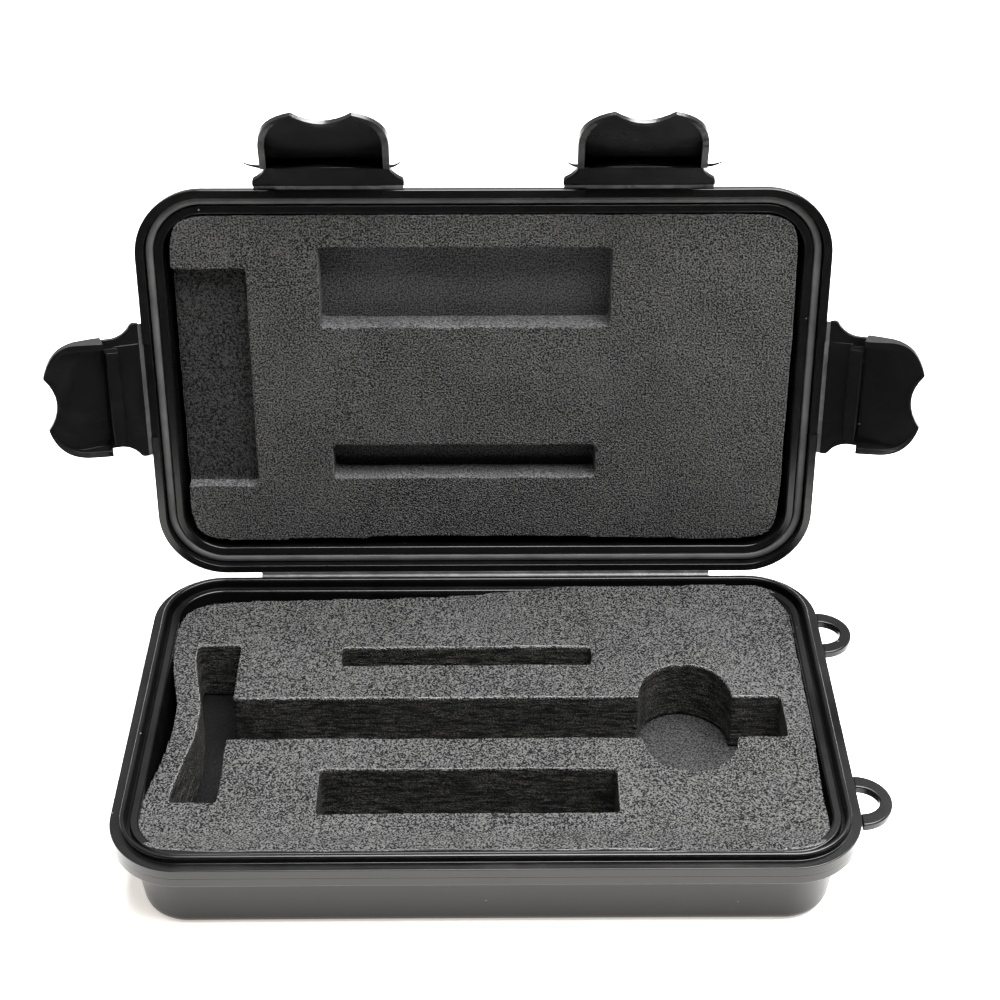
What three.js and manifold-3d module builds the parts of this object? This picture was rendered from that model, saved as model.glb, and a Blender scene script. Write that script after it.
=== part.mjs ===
// Small waterproof clamshell carry case with die-cut foam inserts.
// Units are millimetres, +Z is up, +Y is the hinge side and -Y the front.
// The origin is the centre of the tub's flat underside. The lid stands open and the
// four latches hang half open on its lip.
import * as THREE from 'three';
import * as BufferGeometryUtils from 'three/addons/utils/BufferGeometryUtils.js';
import Module from 'manifold-3d';

const wasm = await Module();
wasm.setup();

// Driving dimensions
const RIM_LENGTH = 160;
const RIM_DEPTH = 98.6;
const RIM_CORNER = 16;
const MIN_CORNER = 2;
const CORNER_STEPS = 10;
const BASE_HEIGHT = 22;
const COLLAR_HEIGHT = 4.75;
const BODY_INSET = 3.8;
const LID_HEIGHT = 14;
const LIP_WIDTH = 2;
const LIP_GAP = 0.15;
const TONGUE_HEIGHT = 1.7;
const INNER_INSET = 6.1;
const LID_INNER_INSET = 6.3;
const LID_SEAT = 1.95;
const CHANNEL_WIDTH = 2.2;
const CHANNEL_TOP = 4.3;
const LID_COLLAR_TOP = 5.5;

const LID_OPEN_DEG = 98.7;
const STRAP_LENGTH = 111;
const STRAP_RADIUS = 0.3;
const STRAP_OFFSET = 0.55;

const FRONT_LATCH_OPEN_DEG = 61;
const SIDE_LATCH_OPEN_DEG = 71;
const LATCH_SPACING = 70;
const LATCH_AXIS_OUT = 0.3;
const LATCH_AXIS_UP = 0.95;
const FILM_RADIUS = 0.2;
const SHOULDER_WIDTH = 34.2;
const NECK_WIDTH = 27.6;
const LEVER_WIDTH = 28.7;
const PANEL_WIDTH = 24;
const PANEL_RAISE = 0.15;
const PLATE_THICKNESS = 1;
const PLATE_START = 0.5;
const SHOULDER_END = 2;
const NECK_START = 6.8;
const LEVER_START = 9.4;
const HOOK_TOP = 5.85;
const HOOK_BOTTOM = 9;
const HOOK_REACH = 2.9;
const HOOK_WIDTH = 23.2;
const LEVER_END = 23.5;
const LEVER_CORNER_START = 15.5;
const PEAK_SPREAD = 13.2;
const NOTCH_DEPTH = 2.5;
const RIM_REACH = 3.5;
const SIDE_RIM = 1.5;
const TIP_RIM = 0.8;

const LOOP_RADIUS = 7.4;
const LOOP_THICKNESS = 2;
const LOOP_HOLE_HALF = 4;
const LOOP_HOLE_REACH = 4.7;
const LOOP_REAR_Y = 27.2;
const LOOP_FRONT_Y = -29.2;

const FOAM_GAP = 0.35;
const FOAM_CORNER = 11;
const BASE_FOAM_DROP = 1;
const BASE_PAD_TOP = 5;
const BASE_FLOOR = 1.9;
const LID_FOAM_FACE = 2;
const LID_FOAM_THICKNESS = 7.8;
const LID_NOTCH_DEPTH = 3.8;
const LID_CEILING = 12.2;
const PAD_GAP = 0.2;

// Foam cut-outs, each by its left, right, front and back edges
const HEAD_SLOT = [-68.5, -58.1, -28.2, 24.3];
const HEAD_SLOT_BOW = 3;
const LONG_SLOT = [-60, 67.9, -8.4, 5.2];
const SMALL_SLOT = [-34, 25, 16.9, 23.2];
const WIDE_SLOT = [-36.5, 28.7, -32, -18.2];
const POCKET_X = 46;
const POCKET_RADIUS = 10.6;
const POCKET_FRONT = -8.6;
const POCKET_BACK = 6;
const LID_WIDE_POCKET = [-38.3, 29.5, -34.8, -15.4];
const LID_SMALL_POCKET = [-36.7, 26.6, 15.4, 23.9];
const LID_NOTCH = [-80, -55.2, -29.8, 25.8];

const HALF_LENGTH = RIM_LENGTH / 2;
const HALF_DEPTH = RIM_DEPTH / 2;
const HINGE_Y = HALF_DEPTH + STRAP_OFFSET;

// Materials
const shellPlastic = new THREE.MeshStandardMaterial({ color: 0x1d1e20, roughness: 0.42, metalness: 0 });
const latchPlastic = new THREE.MeshStandardMaterial({ color: 0x222326, roughness: 0.4, metalness: 0 });
const sealRubber = new THREE.MeshStandardMaterial({ color: 0x3a3b3d, roughness: 0.7, metalness: 0 });
const foamGrey = new THREE.MeshStandardMaterial({ color: 0x4a4a4c, roughness: 0.95, metalness: 0 });
const padGrey = new THREE.MeshStandardMaterial({ color: 0x404042, roughness: 0.95, metalness: 0 });

// Turns a geometry into a solid that can be joined and cut.
function toSolid(geometry) {
  const bare = new THREE.BufferGeometry();
  bare.setAttribute('position', geometry.getAttribute('position').clone());
  if (geometry.index) bare.setIndex(geometry.index.clone());
  const merged = BufferGeometryUtils.mergeVertices(bare, 1e-4);
  const source = merged.index.array;
  const triangles = [];
  for (let i = 0; i < source.length; i += 3) {
    const [a, b, c] = [source[i], source[i + 1], source[i + 2]];
    if (a !== b && b !== c && a !== c) triangles.push(a, b, c);
  }
  const mesh = new wasm.Mesh({
    numProp: 3,
    vertProperties: new Float32Array(merged.getAttribute('position').array),
    triVerts: new Uint32Array(triangles),
  });
  return new wasm.Manifold(mesh);
}

function toGeometry(solid) {
  const mesh = solid.getMesh();
  const geometry = new THREE.BufferGeometry();
  geometry.setAttribute('position', new THREE.BufferAttribute(new Float32Array(mesh.vertProperties), 3));
  geometry.setIndex(new THREE.BufferAttribute(new Uint32Array(mesh.triVerts), 1));
  geometry.computeVertexNormals();
  return geometry;
}

function named(name, geometry, material) {
  const mesh = new THREE.Mesh(geometry, material);
  mesh.name = name;
  return mesh;
}

// Outline of the box at a distance inside its rim, as points going anticlockwise.
function rimOutline(inset) {
  const radius = Math.max(RIM_CORNER - inset, MIN_CORNER);
  const x = HALF_LENGTH - inset - radius;
  const y = HALF_DEPTH - inset - radius;
  const centres = [[x, y], [-x, y], [-x, -y], [x, -y]];
  const points = [];
  centres.forEach(([cx, cy], corner) => {
    for (let step = 0; step <= CORNER_STEPS; step += 1) {
      const angle = (corner + step / CORNER_STEPS) * Math.PI / 2;
      points.push([cx + radius * Math.cos(angle), cy + radius * Math.sin(angle)]);
    }
  });
  return points;
}

// Sweeps a profile of [inset, height] points round the rim. A closed profile makes a ring, and
// an open one is capped flat at both ends, which makes a tray.
function sweepRim(profile, closed) {
  const rings = profile.map(([inset, height]) => rimOutline(inset).map(([x, y]) => [x, y, height]));
  const perRing = rings[0].length;
  const positions = rings.flat(2);
  const index = [];
  const lastRing = closed ? rings.length : rings.length - 1;
  for (let r = 0; r < lastRing; r += 1) {
    const next = (r + 1) % rings.length;
    for (let p = 0; p < perRing; p += 1) {
      const q = (p + 1) % perRing;
      const a = r * perRing + p;
      const b = r * perRing + q;
      const c = next * perRing + q;
      const d = next * perRing + p;
      index.push(a, b, c, a, c, d);
    }
  }
  if (!closed) {
    const first = positions.length / 3;
    positions.push(0, 0, profile[0][1]);
    const last = first + 1;
    positions.push(0, 0, profile[profile.length - 1][1]);
    const base = (rings.length - 1) * perRing;
    for (let p = 0; p < perRing; p += 1) {
      const q = (p + 1) % perRing;
      index.push(first, q, p);
      index.push(last, base + p, base + q);
    }
  }
  const geometry = new THREE.BufferGeometry();
  geometry.setAttribute('position', new THREE.BufferAttribute(new Float32Array(positions), 3));
  geometry.setIndex(index);
  return geometry;
}

// Quarter round between two profile directions, as [inset, height] points.
function fillet(centreInset, centreHeight, radius, fromDeg, toDeg, steps) {
  const points = [];
  for (let step = 0; step <= steps; step += 1) {
    const angle = THREE.MathUtils.degToRad(fromDeg + (toDeg - fromDeg) * step / steps);
    points.push([centreInset - radius * Math.cos(angle), centreHeight + radius * Math.sin(angle)]);
  }
  return points;
}

// Extrudes an outline drawn in X and Y upwards from a height.
function plate(shape, bottom, thickness, curveSegments = 8) {
  const geometry = new THREE.ExtrudeGeometry(shape, { depth: thickness, bevelEnabled: false, curveSegments });
  geometry.translate(0, 0, bottom);
  return geometry;
}

// Extrudes a side profile of [outward, up] points along X, centred.
function sideExtrude(points, width) {
  const shape = new THREE.Shape(points.map(([out, up]) => new THREE.Vector2(out, up)));
  const geometry = new THREE.ExtrudeGeometry(shape, { depth: width, bevelEnabled: false });
  geometry.translate(0, 0, -width / 2);
  const turn = new THREE.Matrix4().makeBasis(
    new THREE.Vector3(0, 1, 0),
    new THREE.Vector3(0, 0, 1),
    new THREE.Vector3(1, 0, 0),
  );
  return geometry.applyMatrix4(turn);
}

// Extrudes an outline of width and distance below the latch hinge through the latch's depth.
function frontExtrude(shape, inner, outer) {
  const geometry = new THREE.ExtrudeGeometry(shape, { depth: outer - inner, bevelEnabled: false, curveSegments: 8 });
  geometry.rotateX(Math.PI / 2);
  geometry.translate(0, outer, 0);
  return geometry;
}

function rectangle(x0, x1, y0, y1) {
  const shape = new THREE.Shape();
  shape.moveTo(x0, y0);
  shape.lineTo(x1, y0);
  shape.lineTo(x1, y1);
  shape.lineTo(x0, y1);
  shape.closePath();
  return shape;
}

// Base tub, collar, flange, tongue, groove and inner wall in one moulding.
function makeBaseShell() {
  const top = BASE_HEIGHT;
  const collarBottom = top - COLLAR_HEIGHT;
  const footFillet = 2.4;
  const wallFoot = 5.25;
  const innerFoot = 7.2;
  const innerFillet = 3;
  const tongueOuter = LIP_WIDTH + 0.25;
  const tongueInner = tongueOuter + 1.1;
  const grooveInner = 4.3;
  const grooveFloor = top - 1.5;
  const ridgeTop = top + 0.3;
  const profile = [
    ...fillet(wallFoot + footFillet, footFillet, footFillet, -90, 0, 5),
    [BODY_INSET, collarBottom],
    [0.3, collarBottom],
    [0, collarBottom + 0.5],
    [0, top - 0.3],
    [0.3, top],
    [tongueOuter, top],
    [tongueOuter, top + TONGUE_HEIGHT - 0.2],
    [tongueOuter + 0.2, top + TONGUE_HEIGHT],
    [tongueInner - 0.2, top + TONGUE_HEIGHT],
    [tongueInner, top + TONGUE_HEIGHT - 0.2],
    [tongueInner, grooveFloor],
    [grooveInner, grooveFloor],
    [grooveInner, ridgeTop - 0.2],
    [grooveInner + 0.2, ridgeTop],
    [INNER_INSET - 0.2, ridgeTop],
    [INNER_INSET, ridgeTop - 0.2],
    ...fillet(innerFoot + innerFillet, BASE_FLOOR + innerFillet, innerFillet, 0, -90, 4),
  ];
  return named('base_shell', sweepRim(profile, false), shellPlastic);
}

// Flat eye on the flange's right side. Its D-shaped hole for a lanyard is closed by the flange.
function makeLanyardLoop(name, y) {
  const quarter = Math.PI / 2;
  const shape = new THREE.Shape();
  shape.moveTo(HALF_LENGTH, y - LOOP_RADIUS);
  shape.absarc(HALF_LENGTH, y, LOOP_RADIUS, -quarter, quarter, false);
  shape.lineTo(HALF_LENGTH, y + LOOP_HOLE_HALF);
  shape.absellipse(HALF_LENGTH, y, LOOP_HOLE_REACH, LOOP_HOLE_HALF, quarter, -quarter, true);
  shape.closePath();
  const geometry = plate(shape, BASE_HEIGHT - 0.3 - LOOP_THICKNESS, LOOP_THICKNESS, 20);
  return named(name, geometry, shellPlastic);
}

// Cutters for the base insert: a T of two slots with a round-ended pocket across it, and two slots.
function baseFoamCuts() {
  const [left, right, front, back] = HEAD_SLOT;
  const headSlot = new THREE.Shape();
  headSlot.moveTo(right, front);
  headSlot.lineTo(right, back);
  headSlot.lineTo(left, back);
  headSlot.quadraticCurveTo(left + 2 * HEAD_SLOT_BOW, (front + back) / 2, left, front);
  headSlot.closePath();
  const pocket = new THREE.Shape();
  pocket.moveTo(POCKET_X + POCKET_RADIUS, POCKET_FRONT);
  pocket.lineTo(POCKET_X + POCKET_RADIUS, POCKET_BACK);
  pocket.absarc(POCKET_X, POCKET_BACK, POCKET_RADIUS, 0, Math.PI, false);
  pocket.lineTo(POCKET_X - POCKET_RADIUS, POCKET_FRONT);
  pocket.absarc(POCKET_X, POCKET_FRONT, POCKET_RADIUS, Math.PI, 2 * Math.PI, false);
  return [
    headSlot,
    rectangle(...LONG_SLOT),
    pocket,
    rectangle(...SMALL_SLOT),
    rectangle(...WIDE_SLOT),
  ];
}

// Outline of a foam block, whose left and back sides can be drawn in by a shallow bow.
function foamOutline(inset, leftBow, backBow) {
  const x = HALF_LENGTH - inset;
  const y = HALF_DEPTH - inset;
  const r = FOAM_CORNER;
  const shape = new THREE.Shape();
  shape.moveTo(-x + r, -y);
  shape.lineTo(x - r, -y);
  shape.quadraticCurveTo(x, -y, x, -y + r);
  shape.lineTo(x, y - r);
  shape.quadraticCurveTo(x, y, x - r, y);
  if (backBow > 0) shape.quadraticCurveTo(0, y - 2 * backBow, -x + r, y);
  else shape.lineTo(-x + r, y);
  shape.quadraticCurveTo(-x, y, -x, y - r);
  if (leftBow > 0) shape.quadraticCurveTo(-x + 2 * leftBow, 0, -x, -y + r);
  else shape.lineTo(-x, -y + r);
  shape.quadraticCurveTo(-x, -y, -x + r, -y);
  return shape;
}

function makeBaseFoam() {
  const outline = foamOutline(INNER_INSET + 1.1 + FOAM_GAP, 2.8, 0);
  const bottom = BASE_PAD_TOP + PAD_GAP;
  const top = BASE_HEIGHT - BASE_FOAM_DROP;
  let solid = toSolid(plate(outline, bottom, top - bottom));
  for (const cut of baseFoamCuts()) {
    solid = solid.subtract(toSolid(plate(cut, bottom - 1, top - bottom + 2)));
  }
  return named('base_foam_insert', toGeometry(solid), foamGrey);
}

function makeBasePad() {
  const outline = foamOutline(INNER_INSET + 4, 0, 0);
  const bottom = BASE_FLOOR + PAD_GAP;
  return named('base_foam_pad', plate(outline, bottom, BASE_PAD_TOP - bottom, 4), padGrey);
}

// Everything below is drawn with the lid shut, with the rim plane at height 0.
function makeLidShell() {
  const channelInner = LIP_WIDTH + CHANNEL_WIDTH;
  const crownFillet = 4;
  const innerFillet = 2.5;
  const wallTop = 4.5;
  const innerTop = 6.9;
  const lipTop = 2;
  const collarInset = 1.1;
  const collarTopInset = 1.4;
  const profile = [
    ...fillet(wallTop + crownFillet, LID_HEIGHT - crownFillet, crownFillet, 90, 0, 5),
    [BODY_INSET, LID_COLLAR_TOP],
    [collarTopInset + 0.3, LID_COLLAR_TOP],
    [collarTopInset, LID_COLLAR_TOP - 0.3],
    [collarInset, lipTop],
    [0.1, lipTop],
    [0, lipTop - 0.1],
    [0, LIP_GAP + 0.3],
    [0.3, LIP_GAP],
    [LIP_WIDTH, LIP_GAP],
    [LIP_WIDTH, CHANNEL_TOP],
    [channelInner, CHANNEL_TOP],
    [channelInner, LID_SEAT + 0.15],
    [channelInner + 0.15, LID_SEAT],
    [LID_INNER_INSET - 0.2, LID_SEAT],
    [LID_INNER_INSET, LID_SEAT + 0.2],
    ...fillet(innerTop + innerFillet, LID_CEILING - innerFillet, innerFillet, 0, 90, 4),
  ];
  let solid = toSolid(sweepRim(profile.reverse(), false));
  for (const seat of latchSeats()) {
    const shape = rectangle(-PANEL_WIDTH / 2, PANEL_WIDTH / 2, -LIP_WIDTH + 0.15, 1);
    const notch = plate(shape, -1, LIP_GAP + 1.3);
    notch.rotateZ(seat.yaw);
    notch.translate(seat.x, seat.y, 0);
    solid = solid.subtract(toSolid(notch));
  }
  const geometry = toGeometry(solid);
  geometry.translate(0, -HINGE_Y, 0);
  return named('lid_shell', geometry, shellPlastic);
}

// The four places on the lip where a latch hangs, with the turn that faces it outwards and
// how far it is swung open.
function latchSeats() {
  const [front, side] = [FRONT_LATCH_OPEN_DEG, SIDE_LATCH_OPEN_DEG];
  return [
    { name: 'latch_front_left', x: -LATCH_SPACING / 2, y: -HALF_DEPTH, yaw: Math.PI, openDeg: front },
    { name: 'latch_front_right', x: LATCH_SPACING / 2, y: -HALF_DEPTH, yaw: Math.PI, openDeg: front },
    { name: 'latch_left', x: -HALF_LENGTH, y: 0, yaw: Math.PI / 2, openDeg: side },
    { name: 'latch_right', x: HALF_LENGTH, y: 0, yaw: -Math.PI / 2, openDeg: side },
  ];
}

// Rubber cord seated in the lip's channel, with a crowned face.
function makeGasket() {
  const side = 0.2;
  const outer = LIP_WIDTH + side;
  const inner = LIP_WIDTH + CHANNEL_WIDTH - side;
  const face = LID_SEAT;
  const profile = [
    [outer, CHANNEL_TOP - side],
    [outer, face + 0.5],
    [outer + 0.4, face + 0.1],
    [(outer + inner) / 2, face],
    [inner - 0.4, face + 0.1],
    [inner, face + 0.5],
    [inner, CHANNEL_TOP - side],
  ];
  const geometry = sweepRim(profile.reverse(), true);
  geometry.translate(0, -HINGE_Y, 0);
  return named('lid_gasket', geometry, sealRubber);
}

function makeLidFoam() {
  const outline = foamOutline(LID_INNER_INSET + 1, 0, 2.6);
  let solid = toSolid(plate(outline, LID_FOAM_FACE, LID_FOAM_THICKNESS));
  for (const pocket of [LID_WIDE_POCKET, LID_SMALL_POCKET]) {
    const cut = plate(rectangle(...pocket), LID_FOAM_FACE - 1, LID_FOAM_THICKNESS + 2);
    solid = solid.subtract(toSolid(cut));
  }
  const notch = rectangle(...LID_NOTCH);
  solid = solid.subtract(toSolid(plate(notch, LID_FOAM_FACE - 1, LID_NOTCH_DEPTH + 1)));
  const geometry = toGeometry(solid);
  geometry.translate(0, -HINGE_Y, 0);
  return named('lid_foam_insert', geometry, foamGrey);
}

function makeLidPad() {
  const bottom = LID_FOAM_FACE + LID_FOAM_THICKNESS + PAD_GAP;
  const thickness = LID_CEILING - PAD_GAP - bottom;
  const geometry = plate(foamOutline(LID_INNER_INSET + 3.4, 0, 0), bottom, thickness, 4);
  geometry.translate(0, -HINGE_Y, 0);
  return named('lid_foam_pad', geometry, padGrey);
}

// Thin bead along a fold line, standing for the flexing web.
function makeBead(name, radius, length) {
  const geometry = new THREE.CylinderGeometry(radius, radius, length, 8);
  geometry.rotateZ(Math.PI / 2);
  return named(name, geometry, shellPlastic);
}

// Latch outline from shoulders to neck, in width and distance along the latch.
function shoulderShape() {
  const half = SHOULDER_WIDTH / 2;
  const neck = NECK_WIDTH / 2;
  const corner = 0.5;
  const shape = new THREE.Shape();
  shape.moveTo(-half, -PLATE_START);
  shape.lineTo(-half, -SHOULDER_END + corner);
  shape.quadraticCurveTo(-half, -SHOULDER_END, -half + corner, -SHOULDER_END - corner);
  shape.quadraticCurveTo(-neck - 0.4, -SHOULDER_END - 2, -neck, -NECK_START);
  shape.lineTo(-neck, -LEVER_START - 1);
  shape.lineTo(neck, -LEVER_START - 1);
  shape.lineTo(neck, -NECK_START);
  shape.quadraticCurveTo(neck + 0.4, -SHOULDER_END - 2, half - corner, -SHOULDER_END - corner);
  shape.quadraticCurveTo(half, -SHOULDER_END, half, -SHOULDER_END + corner);
  shape.lineTo(half, -PLATE_START);
  shape.closePath();
  return shape;
}

// Lever outline: straight sides, rounded corners, two peaks and a finger notch between them.
function leverShape(start, shrink, tipShrink) {
  const half = LEVER_WIDTH / 2 - shrink;
  const peak = PEAK_SPREAD / 2;
  const end = LEVER_END - tipShrink;
  const shape = new THREE.Shape();
  shape.moveTo(-half, -start);
  shape.lineTo(-half, -LEVER_CORNER_START);
  shape.quadraticCurveTo(-half + 0.4, -end + 1.9, -peak, -end);
  shape.quadraticCurveTo(0, -end + 2 * NOTCH_DEPTH, peak, -end);
  shape.quadraticCurveTo(half - 0.4, -end + 1.9, half, -LEVER_CORNER_START);
  shape.lineTo(half, -start);
  shape.closePath();
  return shape;
}

// Drawn shut: hinge at the origin, +Y away from the box, and the lever hanging down.
function latchSolid() {
  const beyond = -LEVER_END - 1;
  const outerFace = [[1, -LEVER_START], [0.85, -12], [0.45, -15], [0, -18], [-0.3, beyond]];
  const rimLine = [
    [-1.3, beyond],
    [-1.4, -21],
    [-1.8, -18],
    [-2.6, -14.5],
    [-3.1, -12],
    [-RIM_REACH, -LEVER_START],
  ];
  const floor = [
    [0, -HOOK_BOTTOM + 0.1],
    [-0.05, -12],
    [-0.35, -15],
    [-0.85, -18],
    [-1, -21],
    [-1, beyond],
  ];
  const room = [[-5, beyond], [-5, -HOOK_BOTTOM + 0.1]];
  const leverBlock = toSolid(sideExtrude([...outerFace, ...rimLine], LEVER_WIDTH))
    .intersect(toSolid(frontExtrude(leverShape(LEVER_START, 0, 0), -5, 2)));
  const tray = toSolid(sideExtrude([...floor, ...room], LEVER_WIDTH))
    .intersect(toSolid(frontExtrude(leverShape(HOOK_BOTTOM - 0.5, SIDE_RIM, TIP_RIM), -6, 2)));
  const hook = [
    [0.5, -HOOK_TOP],
    [-HOOK_REACH + 0.3, -HOOK_TOP],
    [-HOOK_REACH, -HOOK_TOP - 0.3],
    [-HOOK_REACH, -HOOK_BOTTOM + 0.3],
    [-HOOK_REACH + 0.3, -HOOK_BOTTOM],
    [0.5, -HOOK_BOTTOM],
  ];
  const beyondPlate = PLATE_THICKNESS + 1;
  const rootChamfer = sideExtrude([[0.35, -0.2], [beyondPlate, -0.2], [beyondPlate, -2.6],
    [PLATE_THICKNESS, -1.7], [0.35, -PLATE_START]], SHOULDER_WIDTH + 2);
  const panel = rectangle(-PANEL_WIDTH / 2, PANEL_WIDTH / 2, -HOOK_TOP - 0.5, -PLATE_START - 0.3);
  return leverBlock
    .subtract(tray)
    .add(toSolid(frontExtrude(shoulderShape(), 0, PLATE_THICKNESS)))
    .add(toSolid(frontExtrude(panel, -PANEL_RAISE, PLATE_THICKNESS / 2)))
    .add(toSolid(sideExtrude(hook, HOOK_WIDTH)))
    .subtract(toSolid(rootChamfer));
}

function makeLatch(seat, geometry) {
  const foot = new THREE.Group();
  const outward = new THREE.Vector3(0, LATCH_AXIS_OUT, 0).applyAxisAngle(new THREE.Vector3(0, 0, 1), seat.yaw);
  foot.position.set(seat.x + outward.x, seat.y + outward.y - HINGE_Y, LATCH_AXIS_UP);
  foot.rotation.z = seat.yaw;
  const swing = new THREE.Group();
  swing.rotation.x = THREE.MathUtils.degToRad(seat.openDeg);
  swing.add(named(seat.name, geometry, latchPlastic));
  foot.add(swing);
  foot.add(makeBead(`${seat.name}_film`, FILM_RADIUS, SHOULDER_WIDTH));
  return foot;
}

const carryCase = new THREE.Group();
carryCase.add(makeBaseShell());
carryCase.add(makeLanyardLoop('lanyard_loop_rear', LOOP_REAR_Y));
carryCase.add(makeLanyardLoop('lanyard_loop_front', LOOP_FRONT_Y));
carryCase.add(makeBaseFoam());
carryCase.add(makeBasePad());

const strap = makeBead('hinge_strap', STRAP_RADIUS, STRAP_LENGTH);
strap.position.set(0, HINGE_Y, BASE_HEIGHT);
carryCase.add(strap);

const lid = new THREE.Group();
lid.position.set(0, HINGE_Y, BASE_HEIGHT);
lid.rotation.x = -THREE.MathUtils.degToRad(LID_OPEN_DEG);
lid.add(makeLidShell());
lid.add(makeGasket());
lid.add(makeLidFoam());
lid.add(makeLidPad());
const latchGeometry = toGeometry(latchSolid());
for (const seat of latchSeats()) lid.add(makeLatch(seat, latchGeometry));
carryCase.add(lid);

export default carryCase;
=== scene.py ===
"""Looks of a small black clamshell carry case, lid open, with die-cut foam in the tub and the lid.

Lengths in this file are millimetres until a mesh is made; Blender's own units are metres.
The origin is the centre of the tub's underside, +Y is the hinge side and +Z is up.
"""

import math

import bmesh
import bpy
import numpy as np
from mathutils import Matrix, Vector, noise


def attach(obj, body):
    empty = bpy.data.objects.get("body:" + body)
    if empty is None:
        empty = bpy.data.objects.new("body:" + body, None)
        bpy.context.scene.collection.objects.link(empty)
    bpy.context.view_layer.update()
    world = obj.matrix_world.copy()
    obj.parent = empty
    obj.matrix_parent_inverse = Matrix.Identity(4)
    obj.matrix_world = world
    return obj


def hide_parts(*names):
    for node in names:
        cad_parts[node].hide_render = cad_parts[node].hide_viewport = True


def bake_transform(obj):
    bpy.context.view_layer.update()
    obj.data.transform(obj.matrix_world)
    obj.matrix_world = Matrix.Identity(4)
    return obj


MM = 0.001

# Camera, angles of turn and roll in radians
CAMERA_PLACE = (0.612, -320.69, 310.24)
CAMERA_LENS = 67.86
CAMERA_TILT_DEG = 35.615
CAMERA_TURN = -0.00802
CAMERA_ROLL = 0.00072

# Studio, in metres and watts
SOFTBOX_PLACE = (0.18, 0.02, 0.8)
SOFTBOX_SIZE = (0.9, 0.7)
SOFTBOX_POWER = 40
FLOOR_REACH = 3
FLOOR_DROP = 0.00005
FLOOR_GLOW = 0.57
SKY_FRONT = 0.04
SKY_BACK = 0.75
FLAG_NEAR = -0.092
FLAG_SIDE = 0.13
FLAG_FAR = 0.9

# Rim and shells
RIM_LENGTH = 160.0
RIM_DEPTH = 98.6
RIM_CORNER = 16.0
MIN_CORNER = 2.0
BASE_HEIGHT = 22.0
CORNER_STEPS = 20
LONG_SIDE_STEPS = 20
SHORT_SIDE_STEPS = 12
HINGE_OFFSET = 0.55
HINGE_Y = RIM_DEPTH / 2 + HINGE_OFFSET
LID_OPEN = 98.7
STRAP_LENGTH = 111.0
STRAP_THICKNESS = 0.34

# Tub section: heights above the underside, insets from the rim's edge
COLLAR_FOOT = 17.25
COLLAR_TOP = 19.65
PARTING_LINE = 19.72
FLANGE_FOOT = 19.8
TUB_FOOT_IN = 5.49
TUB_WALL_IN = 3.8
TONGUE_OUT = 2.25
TONGUE_IN = 3.35
TONGUE_TOP = 23.7
GROOVE_IN = 4.3
GROOVE_FLOOR = 20.5
WALL_TOP = 22.3
WALL_IN = 6.1
TRAY_FOOT_IN = 7.3
TRAY_FLOOR = 1.9
TUB_SINK = 0.12

# Lid section: heights above the rim plane, insets from the rim's edge
LID_CROWN = 14
LID_WALL_FOOT = 5.5
LID_LIP_TOP = 2.0
LID_LIP_FOOT = 0.15
CHANNEL_OUT = 2.0
CHANNEL_IN = 4.2
CHANNEL_FLOOR = 4.3
RIDGE_FOOT = 1.95
RIDGE_IN = 6.2
LID_CEILING = 12.2
LID_SINK = 0.1
GASKET_OUT = 2.2
GASKET_IN = 4.0
GASKET_EDGE = 2.1
GASKET_CROWN = 1.9
GASKET_BACK = 4.1

# Latches
LATCH_AXIS_OUT = 0.3
LATCH_AXIS_UP = 0.95
LATCH_SPACING = 70.0
SHOULDER_WIDTH = 34.2
FRONT_LATCH_OPEN = 61.0
SIDE_LATCH_OPEN = 71.0
SEAT_WIDTH = 24.0
FILM_THICKNESS = 0.3
FILM_REACH = 0.62

# Foam
FOAM_VOXEL = 0.5
BASE_FOAM_TOP = 21.0
BASE_FOAM_FOOT = 5.3
BASE_PAD_FOOT = 2.1
BASE_PAD_TOP = 5.1
LID_FOAM_FACE = 2.0
LID_FOAM_BACK = 9.8
LID_PAD_FACE = 10.0
LID_PAD_BACK = 12.0
PAD_VOXEL = 0.8
FOAM_PROUD = 1.75

# Cut-outs, each (x0, x1, y0, y1)
HEAD_SLOT = (-68.5, -58.1, -28.2, 24.3)
HEAD_SLOT_BOW = 3.4
HANDLE_SLOT = (-60, 67.9, -8.4, 5.2)
SMALL_SLOT = (-34, 25, 16.9, 23.2)
WIDE_SLOT = (-36.5, 28.7, -32, -18.2)
POCKET_X = 46
POCKET_BACK = 6
POCKET_FRONT = -8.6
POCKET_RADIUS = 10.6
LID_WIDE_POCKET = (-38.3, 29.5, -34.8, -15.4)
LID_SMALL_POCKET = (-36.7, 26.6, 15.4, 23.9)
LID_NOTCH = (-80, -55.2, -29.8, 25.8)
LID_NOTCH_DEPTH = 5.8

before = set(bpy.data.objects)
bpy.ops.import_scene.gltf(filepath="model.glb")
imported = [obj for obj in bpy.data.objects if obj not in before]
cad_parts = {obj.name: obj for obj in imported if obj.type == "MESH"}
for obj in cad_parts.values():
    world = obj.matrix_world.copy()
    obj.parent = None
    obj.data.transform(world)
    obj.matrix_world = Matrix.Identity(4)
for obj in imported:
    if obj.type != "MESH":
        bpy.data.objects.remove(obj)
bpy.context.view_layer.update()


# ---------------------------------------------------------------- camera

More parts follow.
